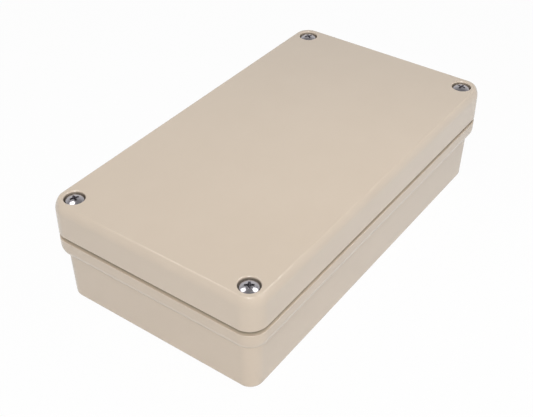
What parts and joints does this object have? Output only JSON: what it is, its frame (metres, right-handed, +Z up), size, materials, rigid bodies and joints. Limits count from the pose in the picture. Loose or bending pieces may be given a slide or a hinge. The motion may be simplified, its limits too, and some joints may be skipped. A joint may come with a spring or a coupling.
{
  "type": "die cast aluminium box",
  "caption": "Die cast aluminium box with a flanged base, a shadow groove, a gasket and a lid held by captive cross-head screws.",
  "frame": {"origin": "centre of the underside of the base", "axes": "+X along the length, +Y across the width, +Z up out of the lid"},
  "size_m": [0.2, 0.1116, 0.054],
  "materials": {
    "powder_coat": "satin",
    "gasket_rubber": "matte",
    "screw_steel": "polished",
    "washer_plastic": "satin"
  },
  "bodies": {
    "base": {"base": "powder_coat", "gasket": "gasket_rubber"},
    "lid": {"lid": "powder_coat"},
    "washer_front_left": {"retaining_washer_front_left": "washer_plastic"},
    "screw_front_left": {"lid_screw_front_left": "screw_steel"},
    "washer_front_right": {"retaining_washer_front_right": "washer_plastic"},
    "screw_front_right": {"lid_screw_front_right": "screw_steel"},
    "washer_back_left": {"retaining_washer_back_left": "washer_plastic"},
    "screw_back_left": {"lid_screw_back_left": "screw_steel"},
    "washer_back_right": {"retaining_washer_back_right": "washer_plastic"},
    "screw_back_right": {"lid_screw_back_right": "screw_steel"}
  },
  "joints": [
    {"name": "lid_lift", "type": "slide", "parent": "base", "child": "lid", "axis": [0, 0, 1], "range_m": [0, 0.06]},
    {"name": "screw_rise_front_left", "type": "slide", "parent": "lid", "child": "washer_front_left", "axis": [0, 0, 1], "range_m": [0, 0.0077]},
    {"name": "screw_turn_front_left", "type": "hinge", "parent": "washer_front_left", "child": "screw_front_left", "pos_m": [-0.0911, -0.04695, 0.0509], "axis": [0, 0, 1], "range_deg": [0, 3960]},
    {"name": "screw_rise_front_right", "type": "slide", "parent": "lid", "child": "washer_front_right", "axis": [0, 0, 1], "range_m": [0, 0.0077]},
    {"name": "screw_turn_front_right", "type": "hinge", "parent": "washer_front_right", "child": "screw_front_right", "pos_m": [0.0911, -0.04695, 0.0509], "axis": [0, 0, 1], "range_deg": [0, 3960]},
    {"name": "screw_rise_back_left", "type": "slide", "parent": "lid", "child": "washer_back_left", "axis": [0, 0, 1], "range_m": [0, 0.0077]},
    {"name": "screw_turn_back_left", "type": "hinge", "parent": "washer_back_left", "child": "screw_back_left", "pos_m": [-0.0911, 0.04695, 0.0509], "axis": [0, 0, 1], "range_deg": [0, 3960]},
    {"name": "screw_rise_back_right", "type": "slide", "parent": "lid", "child": "washer_back_right", "axis": [0, 0, 1], "range_m": [0, 0.0077]},
    {"name": "screw_turn_back_right", "type": "hinge", "parent": "washer_back_right", "child": "screw_back_right", "pos_m": [0.0911, 0.04695, 0.0509], "axis": [0, 0, 1], "range_deg": [0, 3960]}
  ],
  "couplings": [
    {"joint": "screw_turn_front_left", "follows": "screw_rise_front_left", "rad_per_m": 8976},
    {"joint": "screw_turn_front_right", "follows": "screw_rise_front_right", "rad_per_m": 8976},
    {"joint": "screw_turn_back_left", "follows": "screw_rise_back_left", "rad_per_m": 8976},
    {"joint": "screw_turn_back_right", "follows": "screw_rise_back_right", "rad_per_m": 8976}
  ]
}
